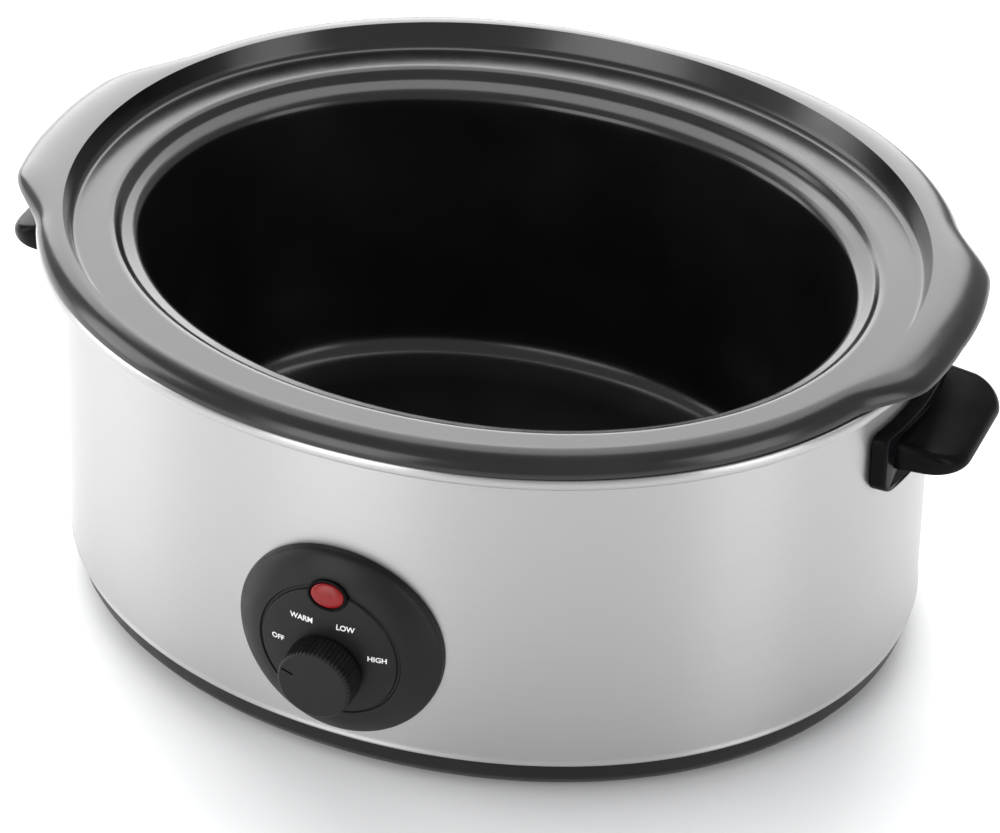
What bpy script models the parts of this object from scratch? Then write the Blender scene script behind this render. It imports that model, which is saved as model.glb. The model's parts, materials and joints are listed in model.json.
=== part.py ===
"""Oval slow cooker: a steel-clad housing with a heating liner, a lift-out stoneware crock and a rotary control.

Lengths are written in millimetres and turned into metres by MM. Inside the root empty the ovals are
centred on the Z axis, the floor is z = 0, and the dial faces -Y.
"""

import math

import bmesh
import bpy
from mathutils import Vector

MM = 0.001
GAP = 0.3
OVAL_POWER = 2.05
RING_STEPS = 60
HIDDEN_STEPS = 40
HOLE_STEPS = 20
SCREW_STEPS = 12

# The stainless wrap and its rolled lip
WALL_A, WALL_B = 167.5, 138.5
WALL_BOTTOM = 15.8
STEEL = 0.8
WALL_EDGE = 140.8
LIP_A, LIP_B = 174.5, 147.3
LIP_TOP = 150.6

# The black base and its feet
BASE_BOTTOM = 4.0
BASE_FLOOR = 2.5
BASE_UPSTAND_TOP = 26.0
FOOT_X, FOOT_Y = 104.0, 74.0
FOOT_RADIUS = 11.0

# The liner that the crock stands in
LINER_TOP_A, LINER_TOP_B, LINER_TOP_Z = 156.4, 126.4, 136.5
LINER_LOW_A, LINER_LOW_B, LINER_LOW_Z = 143.0, 113.0, 30.0
LINER_FLOOR = 19.8
STUD_X, STUD_Y = 80.0, 55.0
BAND_BOTTOM, BAND_TOP = 42.0, 96.0
BAND_THICKNESS = 2.2
BAND_SPLIT_HALF_ANGLE = math.radians(6)

# The crock's ears
EAR_REACH = 12.0
EAR_HALF_WIDTH = 34.0
EAR_ROOT = 62.0

# The dial, its knob and its lamp
BEZEL_RADIUS = 40.0
BEZEL_Z = 62.4
DIAL_FACE = 11.7
DIAL_RADIUS = 27.2
KNOB_Z = 56.5
KNOB_RADIUS = 14.6
KNOB_FACE = 23.5
KNOB_TEETH = 42
OFF_ANGLE = math.radians(-70)
LAMP_Z = 88.1
LENS_HALF_WIDTH, LENS_HALF_HEIGHT = 7.0, 5.3
LENS_FACE = 12.0
BEZEL_SCREW_X = 29.0

# The side handles
HANDLE_REACH = 194.5
HANDLE_PLATE_THICKNESS = 5.5
HANDLE_PLATE_HALF = 36.0
HANDLE_PLATE_BOTTOM, HANDLE_PLATE_TOP = 105.0, 131.0
GRIP_START = 168.5
GRIP_HALF = 28.5
GRIP_TOP = 126.5
GRIP_DEPTH = 11.7
GRIP_SKIN = 3.0
HANDLE_SCREW_Y, HANDLE_SCREW_Z = 20.0, 112.0

# The supply inlet at the back
GLAND_Z = 36.0
GLAND_BORE = 3.5

# The knob stands further out at the front than the crock's rim does at the back
CROCK_RIM_B = 148.0
CENTRE_SHIFT_Y = (WALL_B + KNOB_FACE - CROCK_RIM_B) / 2


def clear_scene():
    for old in list(bpy.data.objects):
        bpy.data.objects.remove(old, do_unlink=True)


def make_material(name, colour, roughness, metallic=0.0):
    made = bpy.data.materials.new(name)
    made.use_nodes = True
    shader = made.node_tree.nodes["Principled BSDF"]
    shader.inputs["Base Color"].default_value = (*colour, 1.0)
    shader.inputs["Roughness"].default_value = roughness
    shader.inputs["Metallic"].default_value = metallic
    return made


def finish(name, mesh, material, origin=(0, 0, 0), sharp_degrees=35):
    """Makes one object from a mesh given in millimetres about its origin."""
    shape = bmesh.new()
    shape.from_mesh(mesh)
    bmesh.ops.recalc_face_normals(shape, faces=shape.faces)
    bmesh.ops.scale(shape, vec=(MM, MM, MM), verts=shape.verts)
    shape.to_mesh(mesh)
    shape.free()
    mesh.shade_smooth()
    mesh.set_sharp_from_angle(angle=math.radians(sharp_degrees))
    mesh.materials.append(MATERIALS[material])
    made = bpy.data.objects.new(name, mesh)
    made.location = Vector(origin) * MM
    made.parent = ROOT
    bpy.context.scene.collection.objects.link(made)
    return made


def mesh_of(name, points, faces):
    mesh = bpy.data.meshes.new(name)
    mesh.from_pydata([tuple(point) for point in points], [], faces)
    return mesh


def power(value, exponent):
    return math.copysign(abs(value) ** exponent, value)


def oval_point(half_length, half_width, angle):
    exponent = 2 / OVAL_POWER
    x = half_length * power(math.cos(angle), exponent)
    y = half_width * power(math.sin(angle), exponent)
    return x, y


def wall_y(x, half_length=WALL_A, half_width=WALL_B):
    """How far the oval wall stands from the XZ plane at this x."""
    return half_width * (1 - abs(x / half_length) ** OVAL_POWER) ** (1 / OVAL_POWER)


def wall_x(y, half_length=WALL_A, half_width=WALL_B):
    return half_length * (1 - abs(y / half_width) ** OVAL_POWER) ** (1 / OVAL_POWER)


def oval_ring(half_length, half_width, z, steps=RING_STEPS):
    angles = [2 * math.pi * i / steps for i in range(steps)]
    return [(*oval_point(half_length, half_width, angle), z) for angle in angles]


def skin(rings, closed_section):
    """Faces between neighbouring rings. An open section gets a flat cap at each end."""
    steps = len(rings[0])
    points = [point for ring in rings for point in ring]
    faces = []
    for k in range(len(rings) if closed_section else len(rings) - 1):
        low, high = k * steps, (k + 1) % len(rings) * steps
        for i in range(steps):
            j = (i + 1) % steps
            faces.append((low + i, low + j, high + j, high + i))
    if not closed_section:
        faces.append(tuple(range(steps)))
        faces.append(tuple((len(rings) - 1) * steps + i for i in range(steps)))
    return points, faces


def oval_shell(name, section, material, closed_section=True, steps=RING_STEPS):
    """A section of (half length, half width, z) points carried round the oval."""
    rings = [oval_ring(*point, steps) for point in section]
    return finish(name, mesh_of(name, *skin(rings, closed_section)), material)


def turned(name, section, material, origin, axis, steps=HOLE_STEPS, closed_section=False):
    """A section of (radius, height) points turned about an axis through the origin."""
    angles = [2 * math.pi * i / steps for i in range(steps)]
    rings = [[Vector((r * math.cos(a), r * math.sin(a), h)) for a in angles] for r, h in section]
    turn = Vector((0, 0, 1)).rotation_difference(Vector(axis)).to_matrix()
    points, faces = skin(rings, closed_section)
    return finish(name, mesh_of(name, [turn @ point for point in points], faces), material, origin)


def box(name, low, high, material, origin=(0, 0, 0)):
    corners = [(x, y, z) for x in (low[0], high[0]) for y in (low[1], high[1]) for z in (low[2], high[2])]
    faces = [(0, 1, 3, 2), (4, 6, 7, 5), (0, 4, 5, 1), (2, 3, 7, 6), (0, 2, 6, 4), (1, 5, 7, 3)]
    return finish(name, mesh_of(name, corners, faces), material, origin)


def prism(name, outline, start, end, material, axis="Z"):
    """An outline of two coordinates pushed along the third axis."""
    order = {"X": (2, 0, 1), "Y": (0, 2, 1), "Z": (0, 1, 2)}[axis]
    rings = [[[(u, v, w)[k] for k in order] for u, v in outline] for w in (start, end)]
    return finish(name, mesh_of(name, *skin(rings, False)), material)


def rounded_outline(low, high, radii, steps=5):
    """A rectangle with rounded corners, radii given from the low corner anticlockwise."""
    corners = [
        (low[0], low[1], 1, 1, math.pi),
        (high[0], low[1], -1, 1, 1.5 * math.pi),
        (high[0], high[1], -1, -1, 0),
        (low[0], high[1], 1, -1, 0.5 * math.pi),
    ]
    outline = []
    for (u, v, side_u, side_v, first), radius in zip(corners, radii):
        for i in range(steps + 1):
            angle = first + 0.5 * math.pi * i / steps
            centre_u, centre_v = u + side_u * radius, v + side_v * radius
            outline.append((centre_u + radius * math.cos(angle), centre_v + radius * math.sin(angle)))
    return outline


def apply_boolean(target, helper, operation):
    helper.hide_render = True
    helper.display_type = "WIRE"
    helper.name = f"{target.name}_{operation.lower()}_{len(target.modifiers)}"
    change = target.modifiers.new(helper.name, "BOOLEAN")
    change.operation = operation
    change.solver = "EXACT"
    change.object = helper


def cut(target, *helpers):
    for helper in helpers:
        apply_boolean(target, helper, "DIFFERENCE")


def join(target, *helpers):
    for helper in helpers:
        apply_boolean(target, helper, "UNION")


def rod(radius, start, end, centre, axis, material="steel"):
    """A plain cylinder, for a hole or a boss, from start to end along the axis."""
    return turned("rod", [(radius, start), (radius, end)], material, centre, axis)


def smooth_step(value):
    value = min(max(value, 0.0), 1.0)
    return value * value * (3 - 2 * value)


# ---------------------------------------------------------------- crock


def crock_section():
    """(half length, half width, z, share of the ear) from the bottom's middle out, over the rim and back in."""
    outside = [
        (116, 85, 22.0, 0),
        (127, 97, 24.0, 0),
        (133, 103, 31.0, 0),
        (144, 114, 112.0, 0),
        (150.5, 121.5, 134.0, 0),
        (156.5, 128.0, 142.6, 0),
        (163.0, 134.4, 144.4, 0),
        (165.6, 136.8, 146.5, 0),
        (166.0, 137.1, 150.9, 0),
        (168.6, 143.5, 150.9, 0.6),
    ]
    rim = [
        (171.3, 146.8, 151.2, 1),
        (172.6, CROCK_RIM_B, 152.5, 1),
        (169.0, 144.4, 156.0, 1),
        (165.4, 140.8, 158.5, 1),
        (164.8, 139.4, 158.7, 0.6),
        (163.9, 138.0, 158.7, 0),
    ]
    inside = [
        (163.0, 136.8, 157.6, 0),
        (161.8, 134.4, 151.4, 0),
        (160.4, 132.6, 149.8, 0),
        (147.8, 119.3, 150.4, 0),
        (146.0, 117.3, 149.6, 0),
        (143.8, 115.0, 147.2, 0),
        (139.0, 108.8, 145.1, 0),
        (137.2, 106.9, 143.4, 0),
        (136.0, 105.5, 138.0, 0),
        (129.5, 98.5, 45.0, 0),
        (126.0, 95.0, 35.0, 0),
        (114.0, 83.0, 29.4, 0),
    ]
    return outside + rim + inside


def ear_bulge(y):
    """How far the ear stands past the rim's oval at this y."""
    return EAR_REACH * smooth_step((EAR_ROOT - abs(y)) / (EAR_ROOT - EAR_HALF_WIDTH))


def crock_ring(half_length, half_width, z, share):
    ring = []
    for x, y, _ in oval_ring(half_length, half_width, z):
        ring.append((x + math.copysign(share * ear_bulge(y), x), y, z))
    return ring


def make_crock():
    rings = [crock_ring(*point) for point in crock_section()]
    finish("crock", mesh_of("crock", *skin(rings, False)), "glaze")


# ---------------------------------------------------------------- housing


def make_rim_ring():
    """The rolled lip that closes the top of the wrap and carries the liner's flange."""
    low = WALL_EDGE + GAP
    section = [
        (WALL_A, WALL_B, low),
        (WALL_A + 1.0, WALL_B + 1.2, low + 2.7),
        (WALL_A + 3.0, WALL_B + 4.0, low + 4.1),
        (LIP_A - 1.2, LIP_B - 1.4, low + 4.7),
        (LIP_A, LIP_B, low + 6.3),
        (LIP_A - 0.3, LIP_B - 0.3, low + 8.1),
        (LIP_A - 1.8, LIP_B - 1.9, LIP_TOP),
        (WALL_A + 0.6, WALL_B + 1.0, LIP_TOP),
        (WALL_A - STEEL, WALL_B - STEEL, LIP_TOP - 1.0),
        (WALL_A - STEEL, WALL_B - STEEL, low),
    ]
    oval_shell("rim_ring", section, "steel")


def make_outer_wall():
    inner_a, inner_b = WALL_A - STEEL, WALL_B - STEEL
    section = [
        (WALL_A, WALL_B, WALL_BOTTOM),
        (WALL_A, WALL_B, WALL_EDGE),
        (inner_a, inner_b, WALL_EDGE),
        (inner_a, inner_b, WALL_BOTTOM + STEEL),
        (inner_a - 3.0, inner_b - 3.0, WALL_BOTTOM + STEEL),
        (inner_a - 3.0, inner_b - 3.0, WALL_BOTTOM),
    ]
    wall = oval_shell("outer_wall", section, "steel")
    front, back = (0, -1, 0), (0, 1, 0)
    cut(wall, rod(20.0, 110, 150, (0, 0, KNOB_Z), front), rod(4.2, 110, 150, (0, 0, LAMP_Z), front))
    cut(wall, rod(6.6, 110, 150, (0, 0, GLAND_Z), back))
    for side in (-1, 1):
        cut(wall, rod(2.2, 110, 150, (side * BEZEL_SCREW_X, 0, BEZEL_Z), front))
        for y in (-HANDLE_SCREW_Y, HANDLE_SCREW_Y):
            cut(wall, rod(2.4, 150, 180, (0, y, HANDLE_SCREW_Z), (side, 0, 0)))


def make_base_tray():
    floor_top = BASE_BOTTOM + BASE_FLOOR
    upstand_a, upstand_b = WALL_A - 4.4, WALL_B - 4.4
    section = [
        (WALL_A - 8.0, WALL_B - 8.0, BASE_BOTTOM),
        (WALL_A - 3.4, WALL_B - 3.4, BASE_BOTTOM + 1.4),
        (WALL_A - 2.0, WALL_B - 2.0, BASE_BOTTOM + 4.0),
        (WALL_A - 1.2, WALL_B - 1.2, WALL_BOTTOM - GAP),
        (upstand_a, upstand_b, WALL_BOTTOM - GAP),
        (upstand_a, upstand_b, BASE_UPSTAND_TOP),
        (upstand_a - 2.0, upstand_b - 2.0, BASE_UPSTAND_TOP),
        (upstand_a - 2.4, upstand_b - 2.4, floor_top + 2.0),
        (upstand_a - 5.0, upstand_b - 5.0, floor_top),
    ]
    base = oval_shell("base_tray", section, "base_plastic", closed_section=False)
    for x in (-STUD_X, STUD_X):
        for y in (-STUD_Y, STUD_Y):
            cut(base, rod(2.0, -1, 12, (x, y, 0), (0, 0, 1)), rod(4.3, 3, 5.5, (x, y, 0), (0, 0, 1)))


def make_feet():
    section = [
        (FOOT_RADIUS - 1.5, 0.0),
        (FOOT_RADIUS, 1.2),
        (FOOT_RADIUS, BASE_BOTTOM - GAP),
    ]
    for end, y in (("front", -FOOT_Y), ("rear", FOOT_Y)):
        for side, x in (("left", -FOOT_X), ("right", FOOT_X)):
            turned(f"foot_{end}_{side}", section, "rubber", (x, y, 0), (0, 0, 1))


def make_gland():
    outer_face = WALL_B + GAP
    section = [
        (GLAND_BORE, outer_face + 4.0),
        (8.0, outer_face + 4.0),
        (9.2, outer_face + 2.6),
        (9.2, outer_face),
        (6.2, outer_face),
        (6.2, WALL_B - STEEL - 0.7),
        (7.6, WALL_B - STEEL - 0.7),
        (7.2, WALL_B - STEEL - 3.2),
        (GLAND_BORE, WALL_B - STEEL - 3.2),
    ]
    turned("cord_gland", section, "rubber", (0, 0, GLAND_Z), (0, 1, 0), closed_section=True)


def grip_share(x):
    """How far along the grip this x is, from its root to its tip."""
    return (abs(x) - GRIP_START) / (HANDLE_REACH - GRIP_START)


def grip_top(x):
    """The grip's upper face falls away towards its tip."""
    return GRIP_TOP - 6.5 * grip_share(x) ** 2


def grip_bottom(x):
    return GRIP_TOP - GRIP_DEPTH + 1.8 * grip_share(x)


def grip_outline(side, inner, inset):
    """The grip seen from above, with its outer corners rounded."""
    half, corner = GRIP_HALF - inset, 13 - inset
    low, high = sorted((side * inner, side * (HANDLE_REACH - inset)))
    radii = (1, corner, corner, 1) if side > 0 else (corner, 1, 1, corner)
    return rounded_outline((low, -half), (high, half), radii)


def oval_block(name, distance):
    """A block with the wall's oval outline, grown by a distance."""
    rings = [oval_ring(WALL_A + distance, WALL_B + distance, z, 144) for z in (90, 150)]
    return finish(name, mesh_of(name, *skin(rings, False)), "steel")


def make_handle(side, name):
    """A plate that follows the wall, with a grip that is hollow underneath."""
    plate_outline = rounded_outline(
        (-HANDLE_PLATE_HALF, HANDLE_PLATE_BOTTOM), (HANDLE_PLATE_HALF, HANDLE_PLATE_TOP), (7, 7, 4, 4)
    )
    handle = prism(name, plate_outline, side * (WALL_A - 12), side * (WALL_A + 9), "handle_plastic", "X")
    apply_boolean(handle, oval_block("plate_shape", HANDLE_PLATE_THICKNESS + GAP), "INTERSECT")
    bottom = [(x, y, grip_bottom(x)) for x, y in grip_outline(side, GRIP_START, 0)]
    middle = [(x, y, grip_top(x) - 1.2) for x, y in grip_outline(side, GRIP_START, 0)]
    top = [(x, y, grip_top(x)) for x, y in grip_outline(side, GRIP_START, 1.2)]
    join(handle, finish("grip", mesh_of("grip", *skin([bottom, middle, top], False)), "handle_plastic"))
    hollow = grip_outline(side, WALL_A + HANDLE_PLATE_THICKNESS + 1.0, GRIP_SKIN)
    roof = [(x, y, grip_top(x) - GRIP_SKIN) for x, y in hollow]
    floor = [(x, y, GRIP_TOP - 20) for x, y in hollow]
    cut(handle, finish("hollow", mesh_of("hollow", *skin([floor, roof], False)), "handle_plastic"))
    cut(handle, oval_block("wall_shape", GAP))
    for y in (-HANDLE_SCREW_Y, HANDLE_SCREW_Y):
        face = wall_x(HANDLE_SCREW_Y) + HANDLE_PLATE_THICKNESS
        cut(handle, rod(1.7, 160, face - 1.0, (0, y, HANDLE_SCREW_Z), (side, 0, 0)))
        place = "front" if y < 0 else "rear"
        head = wall_x(HANDLE_SCREW_Y + 4) - STEEL - 2 * GAP
        make_screw(f"{name}_screw_{place}", (0, y, HANDLE_SCREW_Z), (side, 0, 0), head, face - 1.6)


def make_screw(name, centre, axis, head, tip):
    """A pan-head screw: the underside of its head is at head, and its shank ends at tip."""
    section = [(3.2, head - 2.4), (3.8, head - 1.6), (3.8, head), (1.4, head), (1.4, tip)]
    turned(name, section, "zinc", centre, axis, SCREW_STEPS)


# ---------------------------------------------------------------- dial


def bezel_ring(radius, height, follow):
    """A ring of the dial plate: height out from the wall, following the wall's curve by the share follow."""
    ring = []
    for i in range(44):
        angle = 2 * math.pi * i / 44
        x, z = radius * math.cos(angle), radius * math.sin(angle)
        wall = WALL_B - follow * (WALL_B - wall_y(x))
        ring.append((x, -wall - height, BEZEL_Z + z))
    return ring


def make_bezel():
    front = [
        (12.0, DIAL_FACE, 0),
        (DIAL_RADIUS - 1.0, DIAL_FACE, 0),
        (DIAL_RADIUS - 0.5, DIAL_FACE - 0.4, 0),
        (DIAL_RADIUS - 0.3, DIAL_FACE - 1.4, 0),
        (DIAL_RADIUS + 0.4, DIAL_FACE - 1.4, 0.1),
        (DIAL_RADIUS + 0.7, DIAL_FACE - 0.5, 0.1),
        (33.0, 8.8, 0.5),
        (37.4, 5.8, 0.9),
        (39.2, 4.4, 1),
        (BEZEL_RADIUS, 2.8, 1),
        (BEZEL_RADIUS, GAP, 1),
    ]
    behind = [
        (37.4, GAP, 1),
        (36.4, 2.8, 1),
        (31.5, 5.9, 0.5),
        (26.5, DIAL_FACE - 2.6, 0),
        (12.0, DIAL_FACE - 2.6, 0),
    ]
    rings = [bezel_ring(*point) for point in front + behind]
    bezel = finish("control_bezel", mesh_of("control_bezel", *skin(rings, False)), "dial_plastic")
    front_axis = (0, -1, 0)
    inside = WALL_B + DIAL_FACE - 1.3
    join(bezel, prism("collar", lens_outline(-1.3), -(WALL_B + 3.0), -(WALL_B + LENS_FACE), "dial_plastic", "Y"))
    for side in (-1, 1):
        centre = (side * BEZEL_SCREW_X, 0, BEZEL_Z)
        seat = wall_y(BEZEL_SCREW_X) + 0.8
        join(bezel, rod(3.6, seat, WALL_B + 8.5, centre, front_axis))
        cut(bezel, rod(1.75, seat - 2, WALL_B + 6.5, centre, front_axis))
        place = "left" if side < 0 else "right"
        head = wall_y(BEZEL_SCREW_X + 4) - STEEL - GAP
        make_screw(f"bezel_screw_{place}", centre, front_axis, head, head + 7.5)
    cut(bezel, rod(4.9, inside - 6, inside + 8, (0, 0, KNOB_Z), front_axis))
    cut(bezel, prism("lens_hole", lens_outline(-GAP), -WALL_B, -(inside + 8), "dial_plastic", "Y"))


def lens_outline(inset, steps=24):
    angles = [2 * math.pi * i / steps for i in range(steps)]
    half_width, half_height = LENS_HALF_WIDTH - inset, LENS_HALF_HEIGHT - inset
    return [(half_width * math.cos(a), LAMP_Z + half_height * math.sin(a)) for a in angles]


def make_lens():
    """A domed oval window, hollow behind for the lamp."""
    face = WALL_B + LENS_FACE - 0.6
    section = [
        (3.6, face + 1.0),
        (1.4, face + 0.2),
        (1.4, face - 7.0),
        (0, face - 7.0),
        (0, face + 0.5),
        (0.8, face + 1.3),
        (2.4, face + 1.9),
        (4.2, face + 2.2),
    ]
    rings = [[(x, -y, z) for x, z in lens_outline(inset)] for inset, y in section]
    finish("indicator_lens", mesh_of("indicator_lens", *skin(rings, False)), "lens")


def knob_ring(radius, height, knurl):
    ring = []
    steps = 2 * KNOB_TEETH
    for i in range(steps):
        angle = 2 * math.pi * i / steps
        reach = radius - (knurl if i % 2 else 0)
        ring.append((reach * math.sin(angle), -height, reach * math.cos(angle)))
    return ring


def make_knob():
    """The knob's origin is on its turning axis, level with the wall's front."""
    low = DIAL_FACE + 0.6
    outside = [
        (KNOB_RADIUS, low, 0.5),
        (KNOB_RADIUS - 0.3, KNOB_FACE - 1.0, 0.5),
        (KNOB_RADIUS - 1.2, KNOB_FACE, 0),
        (KNOB_RADIUS - 3.0, KNOB_FACE - 0.1, 0),
    ]
    underside = [
        (3.1, KNOB_FACE - 3.0, 0),
        (3.1, KNOB_FACE - 8.0, 0),
        (5.2, KNOB_FACE - 8.0, 0),
        (5.4, KNOB_FACE - 2.6, 0),
        (KNOB_RADIUS - 3.2, KNOB_FACE - 2.6, 0),
        (KNOB_RADIUS - 2.8, low, 0),
    ]
    rings = [knob_ring(*point) for point in underside + outside]
    origin = (0, -WALL_B, KNOB_Z)
    knob = finish("knob", mesh_of("knob", *skin(rings, False)), "dial_plastic", origin, 30)
    groove = box("groove", (-0.6, -1, 7.8), (0.6, 1, KNOB_RADIUS - 1.4), "dial_plastic")
    groove.location = Vector((0, -WALL_B - KNOB_FACE, KNOB_Z)) * MM
    groove.rotation_euler = (0, OFF_ANGLE, 0)
    cut(knob, groove)
    shaft = [(2.8, -6.0), (2.8, KNOB_FACE - 3.6)]
    turned("switch_shaft", shaft, "zinc", origin, (0, -1, 0), 16)


def make_switch():
    """A rotary switch behind the dial: its bushing passes through the plate and takes a nut."""
    ceiling = WALL_B + DIAL_FACE - 2.6 - GAP
    body = box("switch_body", (-12, -ceiling, KNOB_Z - 12), (12, -(WALL_B - 12), KNOB_Z + 12), "switch_plastic")
    front = (0, -1, 0)
    join(body, rod(4.4, ceiling - 2, WALL_B + DIAL_FACE + 3.2, (0, 0, KNOB_Z), front))
    cut(body, rod(3.1, WALL_B - 7.5, WALL_B + DIAL_FACE + 6, (0, 0, KNOB_Z), front))
    face = WALL_B + DIAL_FACE + GAP
    nut = [(5.5, face), (7.6, face), (7.6, face + 2.0), (5.5, face + 2.0)]
    turned("switch_nut", nut, "zinc", (0, 0, KNOB_Z), front, 6, closed_section=True)
    glass = [(1.6, WALL_B - 4.0), (2.4, WALL_B - 3.0), (2.4, WALL_B + 6.0), (1.2, WALL_B + 8.0)]
    turned("neon_lamp", glass, "lamp_glass", (0, 0, LAMP_Z), front, SCREW_STEPS)


# ---------------------------------------------------------------- heating


def liner_size(z):
    """Half length and half width of the liner's inside at this height."""
    share = (z - LINER_LOW_Z) / (LINER_TOP_Z - LINER_LOW_Z)
    half_length = LINER_LOW_A + share * (LINER_TOP_A - LINER_LOW_A)
    half_width = LINER_LOW_B + share * (LINER_TOP_B - LINER_LOW_B)
    return half_length, half_width


def make_liner():
    inside = [
        (122, 92, LINER_FLOOR),
        (136, 106, LINER_FLOOR + 1.2),
        (LINER_LOW_A - 0.6, LINER_LOW_B - 0.6, LINER_FLOOR + 6),
        (LINER_LOW_A, LINER_LOW_B, LINER_LOW_Z),
        (LINER_TOP_A, LINER_TOP_B, LINER_TOP_Z),
        (159.4, 130.2, 140.8),
        (163.6, 134.8, 143.0),
        (166.2, 137.2, 143.4),
    ]
    outside = [(a + STEEL, b + STEEL, z - STEEL / 2) for a, b, z in reversed(inside[1:-1])]
    outside[0:0] = [(166.2, 137.2, 142.6)]
    outside[-1] = (136.4, 106.4, LINER_FLOOR + 1.2 - STEEL)
    outside.append((122, 92, LINER_FLOOR - STEEL))
    oval_shell("liner", inside + outside, "aluminium", False, HIDDEN_STEPS)


def wrapped_strip(name, bottom, top, distance, thickness, material):
    """A strip round the liner, open at the back where its clamp closes it."""
    steps = HIDDEN_STEPS
    first = 0.5 * math.pi + BAND_SPLIT_HALF_ANGLE
    sweep = 2 * math.pi - 2 * BAND_SPLIT_HALF_ANGLE
    sections = []
    for i in range(steps + 1):
        angle = first + sweep * i / steps
        section = []
        for z, reach in ((bottom, 0), (top, 0), (top, thickness), (bottom, thickness)):
            half_length, half_width = liner_size(z)
            offset = STEEL + distance + reach
            section.append((*oval_point(half_length + offset, half_width + offset, angle), z))
        sections.append(section)
    points, faces = skin(sections, False)
    return finish(name, mesh_of(name, points, faces), material)


def make_heater():
    wrapped_strip("heating_band", BAND_BOTTOM, BAND_TOP, 0.8, BAND_THICKNESS, "mica")
    middle = 0.5 * (BAND_BOTTOM + BAND_TOP)
    strap = wrapped_strip("heater_strap", middle - 6, middle + 6, 3.4, 0.8, "steel")
    length, reach = liner_size(middle)
    lug_x, face = oval_point(length + STEEL + 3.4, reach + STEEL + 3.4, 0.5 * math.pi - BAND_SPLIT_HALF_ANGLE)
    for side in (-1, 1):
        ends = sorted((side * (lug_x - 0.2), side * (lug_x + 1.2)))
        join(strap, box("lug", (ends[0], face + 0.4, middle - 5), (ends[1], face + 9.5, middle + 5), "steel"))
        cut(strap, rod(2.3, lug_x - 3, lug_x + 4, (0, face + 5.4, middle), (side, 0, 0)))
    head = lug_x + 1.2 + GAP
    screw = [(3.4, -head - 2.2), (3.6, -head), (1.8, -head), (1.8, head + 3)]
    turned("strap_screw", screw, "zinc", (0, face + 5.4, middle), (1, 0, 0), SCREW_STEPS)


def make_fuse():
    """The thermal fuse lies along the liner at the front left, held by a spring clip."""
    half_length, half_width = liner_size(34)
    angle = math.radians(238)
    x, y = oval_point(half_length + STEEL + 4.2, half_width + STEEL + 4.2, angle)
    ahead = Vector(oval_point(half_length + STEEL + 4.2, half_width + STEEL + 4.2, angle + 0.02))
    along = (ahead - Vector((x, y))).normalized()
    axis = (along.x, along.y, 0)
    fuse = [(1.0, -8.0), (2.0, -6.5), (2.0, 6.5), (1.0, 8.0)]
    turned("thermal_fuse", fuse, "aluminium", (x, y, 34), axis, SCREW_STEPS)
    clip = [(2.3, -3.0), (3.1, -3.0), (3.1, 3.0), (2.3, 3.0)]
    turned("fuse_clip", clip, "steel", (x, y, 34), axis, SCREW_STEPS, closed_section=True)
    return x, y, along


def make_supports():
    shield_rings = [oval_ring(128, 98, z, HIDDEN_STEPS) for z in (12.6, 13.2)]
    shield = finish("heat_shield", mesh_of("heat_shield", *skin(shield_rings, False)), "aluminium")
    for end, y in (("front", -STUD_Y), ("rear", STUD_Y)):
        for side, x in (("left", -STUD_X), ("right", STUD_X)):
            cut(shield, rod(4.6, 10, 16, (x, y, 0), (0, 0, 1)))
            top = LINER_FLOOR - STEEL - GAP
            stud = [(1.7, 6.8), (4.0, 6.8), (4.0, top), (1.7, top)]
            turned(f"liner_stud_{end}_{side}", stud, "zinc", (x, y, 0), (0, 0, 1), SCREW_STEPS, True)
            screw = [(3.2, BASE_BOTTOM + 0.1), (3.8, BASE_BOTTOM + 1.2), (1.4, BASE_BOTTOM + 1.2), (1.4, 16.0)]
            turned(f"base_screw_{end}_{side}", screw, "zinc", (x, y, 0), (0, 0, 1), SCREW_STEPS)


# ---------------------------------------------------------------- wiring

BLOCK_X, BLOCK_Y = 36.0, 96.0


def make_terminals():
    low, high = (BLOCK_X - 13, BLOCK_Y - 6, 6.8), (BLOCK_X + 13, BLOCK_Y + 6, 12.0)
    box("terminal_block", low, high, "switch_plastic")
    tab_y = wall_y(30, WALL_A - STEEL, WALL_B - STEEL) - 2.6
    box("earth_tab", (26, tab_y - 0.8, 30), (34, tab_y, 40), "zinc")
    return tab_y


def lead(name, points, material):
    """An insulated wire: a smooth curve through the points, sampled every 5 mm or so."""
    knots = [Vector(point) for point in points]
    knots = [2 * knots[0] - knots[1]] + knots + [2 * knots[-1] - knots[-2]]
    route = []
    for a, b, c, d in zip(knots, knots[1:], knots[2:], knots[3:]):
        count = max(2, round((c - b).length / 6))
        for i in range(count):
            t = i / count
            bend, twist = 2 * a - 5 * b + 4 * c - d, 3 * b - a - 3 * c + d
            route.append(0.5 * (2 * b + (c - a) * t + bend * t**2 + twist * t**3))
    route.append(knots[-2])
    curve = bpy.data.curves.new(name, "CURVE")
    curve.dimensions = "3D"
    curve.bevel_depth = 1.1 * MM
    curve.bevel_resolution = 1
    curve.use_fill_caps = True
    spline = curve.splines.new("POLY")
    spline.points.add(len(route) - 1)
    for point, place in zip(spline.points, route):
        point.co = (*(place * MM), 1.0)
    curve.materials.append(MATERIALS[material])
    made = bpy.data.objects.new(name, curve)
    made.parent = ROOT
    bpy.context.scene.collection.objects.link(made)


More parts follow.
